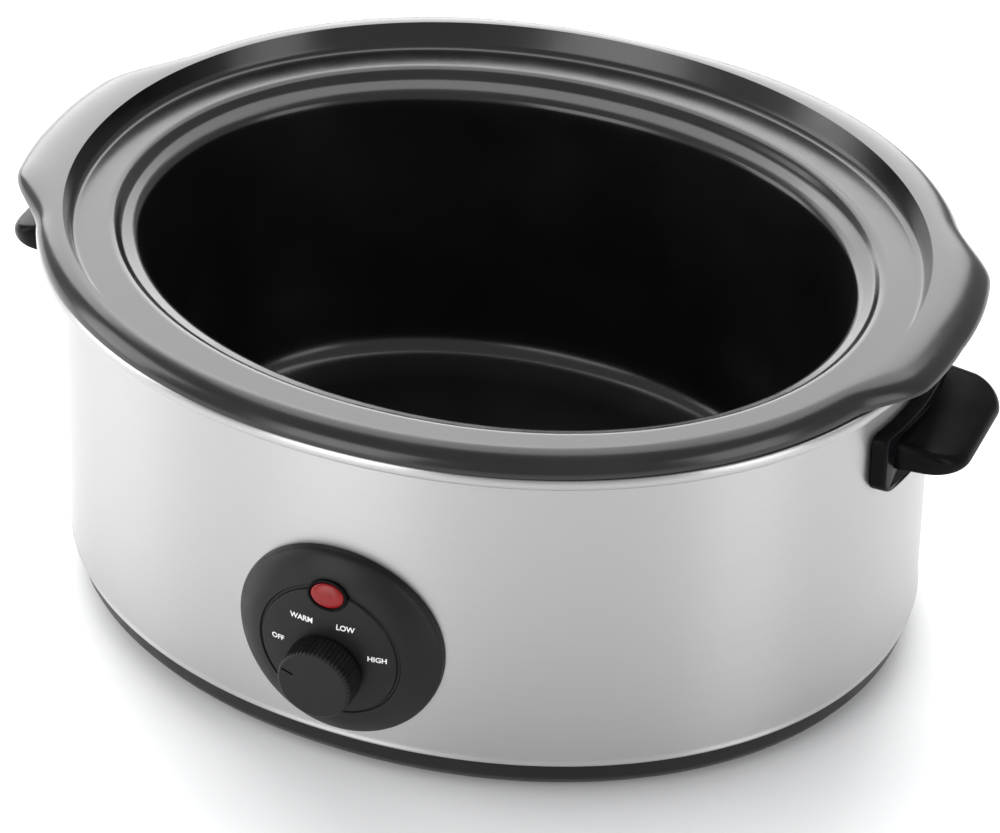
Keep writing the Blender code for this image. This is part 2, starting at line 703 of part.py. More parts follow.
def make_leads(fuse_x, fuse_y, fuse_along, tab_y):
    block_front, block_rear = BLOCK_Y - 6.6, BLOCK_Y + 6.6
    switch_bottom = KNOB_Z - 12.6
    lead(
        "lead_supply",
        [
            (BLOCK_X - 8, block_front, 9.4),
            (BLOCK_X - 8, 70, 9.4),
            (14, 0, 9.4),
            (7, -70, 9.4),
            (7, -108, 10.5),
            (7, -121, 18),
            (7, -128, 30),
            (7, -131, switch_bottom),
        ],
        "wire_brown",
    )
    fuse_right = (fuse_x + 8.4 * fuse_along.x, fuse_y + 8.4 * fuse_along.y)
    lead(
        "lead_switched",
        [
            (-7, -131, switch_bottom),
            (-9, -129.5, 38),
            (-22, -126, 33.5),
            (-44, -117, 33.5),
            (fuse_right[0], fuse_right[1], 34),
        ],
        "wire_brown",
    )
    half_length, half_width = liner_size(BAND_BOTTOM)
    reach = STEEL + 0.8 + BAND_THICKNESS / 2
    start, finish_angle = math.radians(231.5), math.radians(226)
    left_x, left_y = oval_point(half_length + reach, half_width + reach, finish_angle)
    fuse_left = (fuse_x - 8.4 * fuse_along.x, fuse_y - 8.4 * fuse_along.y)
    bend = oval_point(half_length + 4.5, half_width + 4.5, start)
    lead(
        "lead_fused",
        [(*fuse_left, 34), (*bend, 34.2), (left_x, left_y, 37.5), (left_x, left_y, BAND_BOTTOM - 0.7)],
        "wire_brown",
    )
    right_x, right_y = oval_point(half_length + reach, half_width + reach, math.radians(60))
    lead(
        "lead_return",
        [
            (BLOCK_X + 8, block_rear, 9.4),
            (BLOCK_X + 8, 110, 10.5),
            (right_x - 12, 118, 20),
            (right_x, right_y + 3, 32),
            (right_x, right_y, BAND_BOTTOM - 0.7),
        ],
        "wire_blue",
    )
    lead(
        "lead_earth",
        [
            (BLOCK_X - 8, block_rear, 9.4),
            (BLOCK_X - 8, 111, 12),
            (29, 121, 20),
            (30, tab_y - 6, 27),
            (30, tab_y - 2.4, 35),
        ],
        "wire_green",
    )
    lead(
        "lead_lamp",
        [(0, -(WALL_B - 8), KNOB_Z + 12 + GAP), (0, -(WALL_B - 7), 78), (0, -(WALL_B - 5.6), LAMP_Z)],
        "wire_blue",
    )


clear_scene()
MATERIALS = {
    "glaze": make_material("glaze", (0.016, 0.016, 0.018), 0.12),
    "steel": make_material("steel", (0.66, 0.66, 0.67), 0.3, 1.0),
    "base_plastic": make_material("base_plastic", (0.02, 0.02, 0.021), 0.4),
    "handle_plastic": make_material("handle_plastic", (0.016, 0.016, 0.017), 0.25),
    "dial_plastic": make_material("dial_plastic", (0.02, 0.02, 0.021), 0.42),
    "lens": make_material("lens", (0.5, 0.02, 0.025), 0.25),
    "rubber": make_material("rubber", (0.03, 0.03, 0.03), 0.8),
    "aluminium": make_material("aluminium", (0.7, 0.7, 0.71), 0.4, 1.0),
    "mica": make_material("mica", (0.45, 0.38, 0.26), 0.6),
    "zinc": make_material("zinc", (0.6, 0.61, 0.62), 0.35, 1.0),
    "switch_plastic": make_material("switch_plastic", (0.6, 0.58, 0.52), 0.5),
    "lamp_glass": make_material("lamp_glass", (0.8, 0.75, 0.7), 0.1),
    "wire_brown": make_material("wire_brown", (0.16, 0.07, 0.035), 0.5),
    "wire_blue": make_material("wire_blue", (0.03, 0.1, 0.4), 0.5),
    "wire_green": make_material("wire_green", (0.1, 0.35, 0.08), 0.5),
}
ROOT = bpy.data.objects.new("slow_cooker", None)
ROOT.location = (0, CENTRE_SHIFT_Y * MM, 0)
bpy.context.scene.collection.objects.link(ROOT)

make_crock()
make_outer_wall()
make_rim_ring()
make_base_tray()
make_feet()
make_gland()
make_handle(-1, "left_handle")
make_handle(1, "right_handle")
make_bezel()
make_lens()
make_knob()
make_switch()
make_liner()
make_heater()
make_supports()
TAB_Y = make_terminals()
make_leads(*make_fuse(), TAB_Y)
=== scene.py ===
"""The looks of the oval slow cooker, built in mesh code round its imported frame.

Sections are written in millimetres, measured from the oval's axis and the floor, and turned into
metres by MM.
"""

import json
import math

import bmesh
import bpy
from mathutils import Matrix, Vector


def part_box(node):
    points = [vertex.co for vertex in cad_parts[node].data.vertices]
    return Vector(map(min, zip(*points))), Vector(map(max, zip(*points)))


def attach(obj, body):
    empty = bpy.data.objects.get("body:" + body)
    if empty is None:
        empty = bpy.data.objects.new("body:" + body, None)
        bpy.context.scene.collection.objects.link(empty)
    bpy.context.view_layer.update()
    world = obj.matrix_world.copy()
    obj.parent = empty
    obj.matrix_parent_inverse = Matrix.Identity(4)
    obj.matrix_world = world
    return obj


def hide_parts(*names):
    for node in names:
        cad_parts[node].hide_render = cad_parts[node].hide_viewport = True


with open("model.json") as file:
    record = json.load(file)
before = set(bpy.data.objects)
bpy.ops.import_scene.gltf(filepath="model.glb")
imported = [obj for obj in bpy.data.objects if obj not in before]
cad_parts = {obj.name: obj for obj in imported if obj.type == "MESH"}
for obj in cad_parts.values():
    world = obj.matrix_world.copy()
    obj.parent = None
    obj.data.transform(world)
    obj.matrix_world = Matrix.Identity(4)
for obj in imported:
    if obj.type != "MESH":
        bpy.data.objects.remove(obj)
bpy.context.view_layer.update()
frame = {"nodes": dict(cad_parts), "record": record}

MM = 0.001
# The ovals are superellipses of this power. The wall's half length and half width are WALL_A and WALL_B.
OVAL_POWER = 2.05
WALL_A, WALL_B = 167.5, 138.5
STEPS = 256
CROCK_STEPS = 320
Y_AXIS, Z_AXIS = 1, 2


def middle(name, axis):
    """The middle of a CAD node's box along one axis, in millimetres."""
    low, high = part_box(name)
    return (low[axis] + high[axis]) / 2 / MM


CENTRE_Y = middle("outer_wall", Y_AXIS)
KNOB_Z = middle("knob", Z_AXIS)
BEZEL_Z = middle("control_bezel", Z_AXIS)
LENS_Z = middle("indicator_lens", Z_AXIS)


# ---------------------------------------------------------------- camera


def add_camera():
    """A long lens, seen from the front right and above."""
    azimuth, elevation, roll = math.radians(22.84), math.radians(35.37), math.radians(0.71)
    distance, lens, sensor = 1.575, 160.9, 36
    target = Vector((0.04445, -0.09826 + CENTRE_Y * MM, 0.146))
    back = Vector(
        (
            math.sin(azimuth) * math.cos(elevation),
            -math.cos(azimuth) * math.cos(elevation),
            math.sin(elevation),
        )
    )
    level = Vector((math.cos(azimuth), math.sin(azimuth), 0))
    up = back.cross(level)
    right = math.cos(roll) * level + math.sin(roll) * up
    up = back.cross(right)
    camera = bpy.data.objects.new("camera", bpy.data.cameras.new("camera"))
    camera.data.lens = lens
    camera.data.sensor_width = sensor
    turn = Matrix((right, up, back)).transposed().to_4x4()
    camera.matrix_world = Matrix.Translation(target + distance * back) @ turn
    bpy.context.scene.collection.objects.link(camera)
    bpy.context.scene.camera = camera


# ---------------------------------------------------------------- mesh helpers


def finished(name, mesh, material, body, replaces=(), slot=None, sharp=38, origin=None):
    """Turns a mesh in millimetres about the oval's axis into a piece that rides on a body."""
    shape = bmesh.new()
    shape.from_mesh(mesh)
    bmesh.ops.recalc_face_normals(shape, faces=shape.faces)
    for vertex in shape.verts:
        vertex.co = Vector((vertex.co.x, vertex.co.y + CENTRE_Y, vertex.co.z)) * MM
    shape.to_mesh(mesh)
    shape.free()
    mesh.shade_smooth()
    mesh.set_sharp_from_angle(angle=math.radians(sharp))
    mesh.materials.append(material)
    piece = bpy.data.objects.new(name, mesh)
    bpy.context.scene.collection.objects.link(piece)
    if body:
        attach(piece, body)
    if replaces:
        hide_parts(*replaces)
    return piece


def mesh_of(name, points, faces):
    mesh = bpy.data.meshes.new(name)
    mesh.from_pydata([tuple(point) for point in points], [], faces)
    return mesh


def skin(rings, closed_section=False):
    """Faces between neighbouring rings, with a cap at each end of an open section."""
    steps = len(rings[0])
    points = [point for ring in rings for point in ring]
    faces = []
    for k in range(len(rings) if closed_section else len(rings) - 1):
        low, high = k * steps, (k + 1) % len(rings) * steps
        for i in range(steps):
            j = (i + 1) % steps
            faces.append((low + i, low + j, high + j, high + i))
    if not closed_section:
        faces.append(tuple(range(steps)))
        faces.append(tuple((len(rings) - 1) * steps + i for i in range(steps)))
    return points, faces


LONGEST_CORNER = 0.49  # the most that a rounded corner takes of a side


def filleted(keys, closed=False, samples=6):
    """Rounds the corners of a line of keys. A key ends with the length its corner takes from each side."""
    line = []
    count = len(keys)
    for i, key in enumerate(keys):
        here, radius = Vector(key[:-1]), key[-1]
        if radius == 0 or (not closed and i in (0, count - 1)):
            line.append(here)
            continue
        before = Vector(keys[i - 1][:-1]) - here
        after = Vector(keys[(i + 1) % count][:-1]) - here
        start = here + before.normalized() * min(radius, before.length * LONGEST_CORNER)
        end = here + after.normalized() * min(radius, after.length * LONGEST_CORNER)
        for k in range(samples + 1):
            t = k / samples
            line.append((1 - t) ** 2 * start + 2 * t * (1 - t) * here + t * t * end)
    return line


def power(value, exponent):
    """A power that keeps the value's sign."""
    return math.copysign(abs(value) ** exponent, value)


def oval_ring(half_length, half_width, z, steps=STEPS):
    ring = []
    for i in range(steps):
        angle = 2 * math.pi * i / steps
        x = half_length * power(math.cos(angle), 2 / OVAL_POWER)
        y = half_width * power(math.sin(angle), 2 / OVAL_POWER)
        ring.append((x, y, z))
    return ring


def wall_y(x):
    return WALL_B * (1 - abs(x / WALL_A) ** OVAL_POWER) ** (1 / OVAL_POWER)


def wall_x(y):
    return WALL_A * (1 - abs(y / WALL_B) ** OVAL_POWER) ** (1 / OVAL_POWER)


def oval_shell(name, section, material, body, closed_section=True, **said):
    """A section of (half length, half width, height) points swept round the oval."""
    rings = [oval_ring(*point) for point in section]
    return finished(name, mesh_of(name, *skin(rings, closed_section)), material, body, **said)


def turned(name, section, material, body, origin, axis, steps=96, closed_section=False, **said):
    """A section of (radius, height) points turned about an axis through the origin."""
    angles = [2 * math.pi * i / steps for i in range(steps)]
    turn = Vector((0, 0, 1)).rotation_difference(Vector(axis)).to_matrix()
    rings = []
    for radius, height in section:
        ring = [Vector((radius * math.cos(a), radius * math.sin(a), height)) for a in angles]
        rings.append([turn @ point + Vector(origin) for point in ring])
    return finished(name, mesh_of(name, *skin(rings, closed_section)), material, body, **said)


def boolean(target, other, operation):
    """Applies a Boolean and removes the other mesh."""
    change = target.modifiers.new("boolean", "BOOLEAN")
    change.operation = operation
    change.solver = "EXACT"
    change.object = other
    graph = bpy.context.evaluated_depsgraph_get()
    result = bpy.data.meshes.new_from_object(target.evaluated_get(graph))
    target.modifiers.remove(change)
    target.data = result
    bpy.data.objects.remove(other, do_unlink=True)


# ---------------------------------------------------------------- materials


def node(tree, kind, **values):
    made = tree.nodes.new(kind)
    for name, value in values.items():
        if name in made.inputs:
            made.inputs[name].default_value = value
        else:
            setattr(made, name, value)
    return made


def base_material(name, colour, roughness, metallic=0.0, **sockets):
    made = bpy.data.materials.new(name)
    made.use_nodes = True
    shader = made.node_tree.nodes["Principled BSDF"]
    shader.inputs["Base Color"].default_value = (*colour, 1)
    shader.inputs["Roughness"].default_value = roughness
    shader.inputs["Metallic"].default_value = metallic
    for socket, value in sockets.items():
        shader.inputs[socket.replace("_", " ")].default_value = value
    return made, made.node_tree, shader


def object_coordinates(tree, scale):
    """Positions on the piece, stretched by scale."""
    place = node(tree, "ShaderNodeTexCoord")
    mapping = node(tree, "ShaderNodeMapping")
    mapping.inputs["Scale"].default_value = scale
    tree.links.new(place.outputs["Object"], mapping.inputs["Vector"])
    return mapping.outputs["Vector"]


def noise(tree, scale, stretch=(1, 1, 1), detail=4.0, rough=0.5):
    made = node(tree, "ShaderNodeTexNoise", Scale=scale, Detail=detail, Roughness=rough)
    tree.links.new(object_coordinates(tree, stretch), made.inputs["Vector"])
    return made.outputs["Fac"]


def vary_roughness(tree, shader, factor, low, high):
    """Spreads the middle of a noise over a range of roughness."""
    spread = node(tree, "ShaderNodeMapRange")
    spread.inputs["From Min"].default_value = 0.3
    spread.inputs["From Max"].default_value = 0.7
    spread.inputs["To Min"].default_value = low
    spread.inputs["To Max"].default_value = high
    tree.links.new(factor, spread.inputs["Value"])
    tree.links.new(spread.outputs["Result"], shader.inputs["Roughness"])


def vary_colour(tree, shader, factor, first, second):
    """Blends two colours over the middle of a noise."""
    ramp = node(tree, "ShaderNodeValToRGB")
    ramp.color_ramp.elements[0].position = 0.35
    ramp.color_ramp.elements[1].position = 0.65
    ramp.color_ramp.elements[0].color = (*first, 1)
    ramp.color_ramp.elements[1].color = (*second, 1)
    tree.links.new(factor, ramp.inputs["Fac"])
    tree.links.new(ramp.outputs["Color"], shader.inputs["Base Color"])


def bump(tree, shader, factor, height, strength=1.0):
    made = node(tree, "ShaderNodeBump", Strength=strength, Distance=height)
    tree.links.new(factor, made.inputs["Height"])
    tree.links.new(made.outputs["Normal"], shader.inputs["Normal"])


def glaze_material():
    """Satin black glaze: a little orange peel, and clouds of slightly duller gloss."""
    made, tree, shader = base_material("black_glaze", (0.004, 0.004, 0.0045), 0.2, IOR=1.5)
    vary_roughness(tree, shader, noise(tree, 60), 0.19, 0.25)
    vary_colour(tree, shader, noise(tree, 25), (0.003, 0.003, 0.0035), (0.006, 0.006, 0.0065))
    bump(tree, shader, noise(tree, 140, detail=2.0), 0.00003, 0.5)
    return made


def steel_material():
    """Satin stainless steel, its fine brush lines running round the oval."""
    made, tree, shader = base_material("satin_steel", (0.42, 0.42, 0.42), 0.3, 1.0, Anisotropic=0.8)
    shader.inputs["Anisotropic Rotation"].default_value = 0.25
    tangent = node(tree, "ShaderNodeTangent", direction_type="RADIAL", axis="Z")
    tree.links.new(tangent.outputs["Tangent"], shader.inputs["Tangent"])
    lines = noise(tree, 900, (0.02, 0.02, 4.0), detail=3.0, rough=0.5)
    vary_roughness(tree, shader, lines, 0.31, 0.35)
    vary_colour(tree, shader, lines, (0.415, 0.414, 0.412), (0.43, 0.429, 0.427))
    bump(tree, shader, lines, 0.000002, 0.3)
    return made


def plastic_material(name, colour, low, high, grain=900, height=0.00003, lighter=1.5, shine=0.5):
    """Moulded plastic with a fine spark-eroded grain."""
    made, tree, shader = base_material(name, colour, low, Specular_IOR_Level=shine)
    vary_roughness(tree, shader, noise(tree, 90), low, high)
    vary_colour(tree, shader, noise(tree, 40), colour, tuple(lighter * c for c in colour))
    bump(tree, shader, noise(tree, grain, detail=3.0), height, 0.7)
    return made


def metal_material(name, colour, low, high):
    """Bare metal with a faint, uneven tone."""
    made, tree, shader = base_material(name, colour, low, 1.0)
    vary_roughness(tree, shader, noise(tree, 200), low, high)
    vary_colour(tree, shader, noise(tree, 80), colour, tuple(0.85 * c for c in colour))
    bump(tree, shader, noise(tree, 600), 0.00002, 0.4)
    return made


def lens_material():
    """Red lamp plastic that lets a little light in."""
    made, tree, shader = base_material("red_lens", (0.2, 0.004, 0.005), 0.3, Specular_IOR_Level=0.25)
    shader.inputs["Subsurface Weight"].default_value = 0.2
    shader.inputs["Subsurface Radius"].default_value = (0.004, 0.0006, 0.0006)
    shader.inputs["Coat Weight"].default_value = 0.1
    vary_colour(tree, shader, noise(tree, 300), (0.19, 0.003, 0.004), (0.23, 0.005, 0.006))
    bump(tree, shader, noise(tree, 700), 0.00003, 0.5)
    return made


# ---------------------------------------------------------------- crock

# Keys: half length, half width, height, share of the ear's bulge, corner.
CROCK_OUTSIDE = [
    (1.0, 0.8, 22.6, 0, 0),
    (60, 44, 22.6, 0, 0),
    (104, 74, 22.6, 0, 1),
    (108, 78, 22.0, 0, 1),
    (118, 88, 22.0, 0, 4),
    (131, 101, 24.5, 0, 7),
    (135, 105, 40.0, 0, 6),
    (144, 114, 112.0, 0, 10),
    (150.5, 121.5, 134.0, 0, 6),
    (156.5, 128.0, 142.8, 0, 4),
    (163.0, 134.4, 144.6, 0, 3),
    (165.7, 136.8, 147.0, 0, 1.5),
    (166.0, 137.1, 151.2, 0, 0.6),
    (168.6, 143.5, 151.2, 0.6, 1.5),
]
# The rim rolls over from its outer edge to its crest: the roll's centre, its reach each way, its steps.
RIM_EDGE = (171.4, 146.9, 150.9, 1, 0.3)
RIM_CENTRE = (163.8, 138.4, 151.6)
RIM_REACH = (8.9, 9.7, 7.5)
RIM_STEPS = 18
CROCK_INSIDE = [
    (161.8, 134.6, 151.2, 0, 1.6),
    (160.2, 132.4, 149.8, 0, 1.4),
    (147.6, 119.0, 150.5, 0, 1.4),
    (145.6, 116.6, 149.6, 0, 1.2),
    (143.4, 114.2, 147.0, 0, 1.4),
    (139.4, 109.2, 145.4, 0, 1.2),
    (137.0, 106.6, 143.6, 0, 2.2),
    (136.0, 105.5, 138.0, 0, 4),
    (129.6, 98.6, 48.0, 0, 10),
    (126.0, 95.0, 33.0, 0, 9),
    (108.0, 78.0, 29.4, 0, 6),
    (60, 44, 29.6, 0, 0),
    (1.0, 0.8, 29.6, 0, 0),
]
# By side, -1 for the left and 1 for the right. An ear has a reach, the half width where it is full, the
# half width where it starts, and its centre in y. CORNER_SWELL widens the rim towards its rear corners
# and END_SWELL lengthens it, in millimetres. SWELL_GAIN brings the widening in above the rim's edge.
EARS = {-1: (12.2, 34.0, 66.0, 1.0), 1: (10.0, 36.0, 63.0, 7.5)}
CORNER_SWELL = {-1: 0.01, 1: 0.032}
END_SWELL = {-1: 1.2, 1: 0.0}
SWELL_GAIN = 1.5


def ear_bulge(side, y):
    """How far the ear stands past the rim's oval at this y."""
    reach, half_width, root, centre = EARS[side]
    share = min(max((root - abs(y - centre)) / (root - half_width), 0), 1)
    return reach * share * share * (3 - 2 * share)


def rim_roll():
    """The rim's outer side: every key carries how much of the ear's bulge it takes."""
    keys = [RIM_EDGE]
    x, y, z = RIM_CENTRE
    for i in range(RIM_STEPS + 1):
        angle = math.pi / 2 * i / RIM_STEPS
        out, up = math.cos(angle), math.sin(angle)
        keys.append((x + RIM_REACH[0] * out, y + RIM_REACH[1] * out, z + RIM_REACH[2] * up, out, 0))
    return keys


def make_crock(material):
    rings = []
    for half_length, half_width, z, share in filleted(CROCK_OUTSIDE + rim_roll() + CROCK_INSIDE):
        ring = []
        for x, y, _ in oval_ring(half_length, half_width, z, CROCK_STEPS):
            side = 1 if x > 0 else -1
            corner = 2 * abs(x) * max(y, 0) / (half_length * half_width)
            swell = 1 + CORNER_SWELL[side] * min(1, SWELL_GAIN * share) * corner
            bulge = share * (ear_bulge(side, y) + END_SWELL[side] * (x / half_length) ** 2)
            ring.append((x * swell + math.copysign(bulge, x), y * swell, z))
        rings.append(ring)
    mesh = mesh_of("stoneware_crock", *skin(rings))
    finished("stoneware_crock", mesh, material, "crock", replaces=["crock"], slot="glaze", sharp=60)


# ---------------------------------------------------------------- housing


def make_wall(material):
    """The steel wrap with its hem, and the rolled lip on top of it."""
    keys = [
        (166.8, 137.8, 15.9, 0.3),
        (168.0, 139.0, 16.8, 0.7),
        (167.5, 138.5, 18.6, 0.8),
        (167.5, 138.5, 140.9, 0.3),
        (166.7, 137.7, 140.9, 0.3),
        (166.7, 137.7, 16.8, 0.3),
        (164.0, 135.0, 16.6, 0.3),
        (164.0, 135.0, 15.9, 0.3),
    ]
    section = filleted(keys, True, 5)
    oval_shell("steel_wrap", section, material, "housing", replaces=["outer_wall"], slot="steel", sharp=70)
    keys = [
        (167.5, 138.5, 141.1, 0.3),
        (167.5, 138.5, 143.4, 2.2),
        (171.8, 144.0, 145.6, 2.0),
        (174.3, 147.1, 146.4, 0.9),
        (174.6, 147.4, 148.6, 1.6),
        (173.9, 146.7, 150.5, 1.0),
        (168.0, 139.4, 150.6, 0.5),
        (166.7, 137.7, 150.2, 0.3),
        (166.7, 137.7, 141.1, 0.3),
    ]
    section = filleted(keys, True, 5)
    oval_shell("steel_lip", section, material, "housing", replaces=["rim_ring"], slot="steel", sharp=70)


def make_base(material):
    keys = [
        (1.0, 0.8, 4.4, 0),
        (150.0, 121.0, 4.4, 0.5),
        (153.0, 124.0, 4.0, 0.5),
        (162.0, 133.0, 4.0, 2.4),
        (165.4, 136.4, 8.6, 1.5),
        (166.6, 137.6, 15.4, 0.5),
        (164.5, 135.5, 15.5, 0.4),
        (163.1, 134.1, 15.5, 0.4),
        (163.1, 134.1, 26.0, 0.4),
        (161.1, 132.1, 26.0, 0.4),
        (160.6, 131.6, 8.6, 2.0),
        (157.0, 128.0, 6.5, 1.0),
        (1.0, 0.8, 6.5, 0),
    ]
    section = filleted(keys, False, 5)
    oval_shell("base_band", section, material, "housing", False, replaces=["base_tray"], slot="base_plastic")


def make_liner(material):
    keys = [
        (1.0, 0.8, 19.8, 0),
        (122, 92, 19.8, 5),
        (140, 110, 21.0, 8),
        (143, 113, 30.0, 8),
        (156.4, 126.4, 136.5, 6),
        (160.4, 131.2, 141.8, 3),
        (166.1, 137.1, 143.4, 0.4),
        (166.1, 137.1, 142.7, 0.4),
        (160.9, 131.8, 141.1, 3),
        (157.2, 127.2, 136.1, 6),
        (143.8, 113.8, 30.0, 8),
        (140.8, 110.8, 20.3, 8),
        (122, 92, 19.0, 5),
        (1.0, 0.8, 19.0, 0),
    ]
    section = filleted(keys)
    oval_shell("heating_chamber", section, material, "housing", False, replaces=["liner"], slot="aluminium")


def rounded_outline(low, high, radii, steps=10):
    """A rectangle with rounded corners, radii given from the low corner anticlockwise."""
    corners = [
        (low[0], low[1], 1, 1, math.pi),
        (high[0], low[1], -1, 1, 1.5 * math.pi),
        (high[0], high[1], -1, -1, 0),
        (low[0], high[1], 1, -1, 0.5 * math.pi),
    ]
    outline = []
    for (u, v, side_u, side_v, first), radius in zip(corners, radii):
        for i in range(steps + 1):
            angle = first + 0.5 * math.pi * i / steps
            centre_u, centre_v = u + side_u * radius, v + side_v * radius
            outline.append((centre_u + radius * math.cos(angle), centre_v + radius * math.sin(angle)))
    return outline


# ---------------------------------------------------------------- handles

HANDLE_REACH = 193.6
GRIP_START, GRIP_HALF, GRIP_CORNER = 168.5, 28.5, 13
GRIP_TOP, GRIP_FALL, GRIP_DEPTH, SKIRT_RISE = 125.6, 6.5, 12.2, 1.8
GRIP_FOLD = 3.0
PLATE_HALF, PLATE_LOW, PLATE_HIGH = 36, 105, 131
PLATE_BACK, PLATE_FRONT, PLATE_EDGE = 0.3, 5.8, 1.2


def grip_share(x):
    """How far x lies along the grip, from 0 at the wall to 1 at its tip."""
    return (x - GRIP_START) / (HANDLE_REACH - GRIP_START)


def grip_top(x):
    """The height of the grip's upper face, which falls away towards its tip."""
    return GRIP_TOP - GRIP_FALL * grip_share(x) ** 2


def grip_bottom(x):
    """The height of the skirt's lower edge."""
    return GRIP_TOP - GRIP_DEPTH + SKIRT_RISE * grip_share(x)


def grip_ring(inset, height):
    """A ring of the grip, whose height is a function of x."""
    corner = GRIP_CORNER - inset
    low = (GRIP_START, -GRIP_HALF + inset)
    high = (HANDLE_REACH - inset, GRIP_HALF - inset)
    outline = rounded_outline(low, high, (1, corner, corner, 1))
    return [(x, y, height(x)) for x, y in outline]


def handle_grip():
    """The grip's rings, from the hollow under it, round the skirt and up over the fold."""
    rings = []
    for inset, lift in ((2.6, 0.5), (2.2, 0.1), (1.6, 0.0), (0.9, 0.0), (0.35, 0.25), (0.0, 1.0)):
        rings.append(grip_ring(inset, lambda x, lift=lift: grip_bottom(x) + lift))
    for i in range(9):
        angle = 0.5 * math.pi * i / 8
        inset, drop = GRIP_FOLD * (1 - math.cos(angle)), GRIP_FOLD * (1 - math.sin(angle))
        rings.append(grip_ring(inset, lambda x, drop=drop: grip_top(x) - drop))
    inside = [(2.9, 4.6), (3.3, 3.7), (4.2, 3.2)]
    inside = [grip_ring(inset, lambda x, drop=drop: grip_top(x) - drop) for inset, drop in inside]
    return inside[::-1] + rings


def handle_plate():
    """A plate of even thickness that follows the wall."""

    def ring(inset, distance):
        radii = (7 - inset, 7 - inset, 4 - inset, 4 - inset)
        low, high = (-PLATE_HALF + inset, PLATE_LOW + inset), (PLATE_HALF - inset, PLATE_HIGH - inset)
        outline = rounded_outline(low, high, radii)
        points = []
        for k, (y, z) in enumerate(outline):
            points.append((wall_x(y) + distance, y, z))
            after = outline[(k + 1) % len(outline)]
            if abs(after[0] - y) > PLATE_HALF / 2:
                for i in range(1, 12):
                    between = y + (after[0] - y) * i / 12
                    points.append((wall_x(between) + distance, between, z))
        return points

    rings = [ring(0.0, PLATE_BACK)]
    for i in range(7):
        angle = 0.5 * math.pi * i / 6
        distance = PLATE_FRONT - PLATE_EDGE * (1 - math.sin(angle))
        rings.append(ring(PLATE_EDGE * (1 - math.cos(angle)), distance))
    return rings


def make_handles(material):
    """Each handle is one moulding: the plate joined to the grip, mirrored for the left side."""
    for side, name in ((-1, "left_handle"), (1, "right_handle")):
        parts = []
        for what, rings in (("plate", handle_plate()), ("grip", handle_grip())):
            mirrored = [[(side * x, y, z) for x, y, z in ring] for ring in rings]
            mesh = mesh_of(f"{name}_{what}", *skin(mirrored))
            parts.append(finished(f"{name}_{what}", mesh, material, None))
        plate, grip = parts
        boolean(plate, grip, "UNION")
        plate.name = f"{name}_moulding"
        plate.data.shade_smooth()
        plate.data.set_sharp_from_angle(angle=math.radians(35))
        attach(plate, "housing")
        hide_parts(name)


# ---------------------------------------------------------------- dial

DIAL_DOME, DIAL_FACE = 110.0, 12.4
SHAFT_HOLE = 4.9


def dial_height(radius):
    """The dial's face is gently domed."""
    return DIAL_FACE - radius * radius / (2 * DIAL_DOME)


def bezel_ring(radius, height, follow, steps=160):
    """A ring of the dial plate: height out from the wall, following the wall's curve by the share follow."""
    ring = []
    for i in range(steps):
        angle = 2 * math.pi * i / steps
        x, z = radius * math.cos(angle), radius * math.sin(angle)
        ring.append((x, -(WALL_B - follow * (WALL_B - wall_y(x))) - height, BEZEL_Z + z))
    return ring


def make_bezel(material):
    keys = [
        (1.0, dial_height(1), 0, 0),
        (13.0, dial_height(13), 0, 0),
        (20.0, dial_height(20), 0, 0),
        (26.2, dial_height(26.2), 0, 0.4),
        (26.6, dial_height(26.6) - 1.1, 0, 0.2),
        (27.4, dial_height(27.4) - 1.1, 0, 0.2),
        (27.8, dial_height(27.8) - 0.2, 0.05, 0.4),
        (33.0, 7.6, 0.5, 4),
        (38.2, 5.2, 1.0, 2.6),
        (40.0, 3.4, 1.0, 1.2),
        (40.0, 0.3, 1.0, 0.3),
        (37.4, 0.3, 1.0, 0.3),
        (36.4, 2.8, 1.0, 1),
        (31.5, 5.4, 0.5, 2),
        (26.5, 6.8, 0, 2),
        (1.0, 8.8, 0, 0),
    ]
    rings = [bezel_ring(*point) for point in filleted(keys)]
    mesh = mesh_of("dial_plate", *skin(rings))
    plate = finished("dial_plate", mesh, material, None, sharp=30)
    section = [(SHAFT_HOLE, 100), (SHAFT_HOLE, 170)]
    hole = turned("hole", section, material, None, (0, 0, KNOB_Z), (0, -1, 0))
    boolean(plate, hole, "DIFFERENCE")
    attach(plate, "housing")
    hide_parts("control_bezel")


LENS_HALF_WIDTH, LENS_HALF_HEIGHT = 7.0, 5.2
LENS_STAND, LENS_DROP = 9.9, 0.4
LENS_TILT = math.radians(11)


def lens_ring(inset, height, steps=96):
    """A ring of the lamp's window, laid on the slope of the dial plate."""
    ring = []
    for i in range(steps):
        angle = 2 * math.pi * i / steps
        x = (LENS_HALF_WIDTH - inset) * math.cos(angle)
        up = (LENS_HALF_HEIGHT - inset) * math.sin(angle)
        out = WALL_B + LENS_STAND + height * math.cos(LENS_TILT) - up * math.sin(LENS_TILT)
        z = LENS_Z - LENS_DROP + up * math.cos(LENS_TILT) + height * math.sin(LENS_TILT)
        ring.append((x, -out, z))
    return ring


def make_lens(material, dark):
    """The lamp's window, and the dark collar round it."""
    window = [(0.9, -3.0, 0), (0.45, 0.2, 0.4), (1.2, 0.85, 0.8), (3.0, 1.25, 1.2), (4.6, 1.4, 0)]
    rings = [lens_ring(*point) for point in filleted(window)]
    mesh = mesh_of("lamp_window", *skin(rings))
    finished("lamp_window", mesh, material, "housing", replaces=["indicator_lens"], slot="lens", sharp=60)
    collar = [(0.25, -3.0, 0.1), (0.25, 0.35, 0.15), (-0.1, 0.7, 0.2), (-0.75, 0.55, 0.2), (-0.9, -3.0, 0.1)]
    rings = [lens_ring(*point) for point in filleted(collar, True)]
    mesh = mesh_of("lamp_collar", *skin(rings, True))
    finished("lamp_collar", mesh, dark, "housing", slot="dial_plastic", sharp=60)


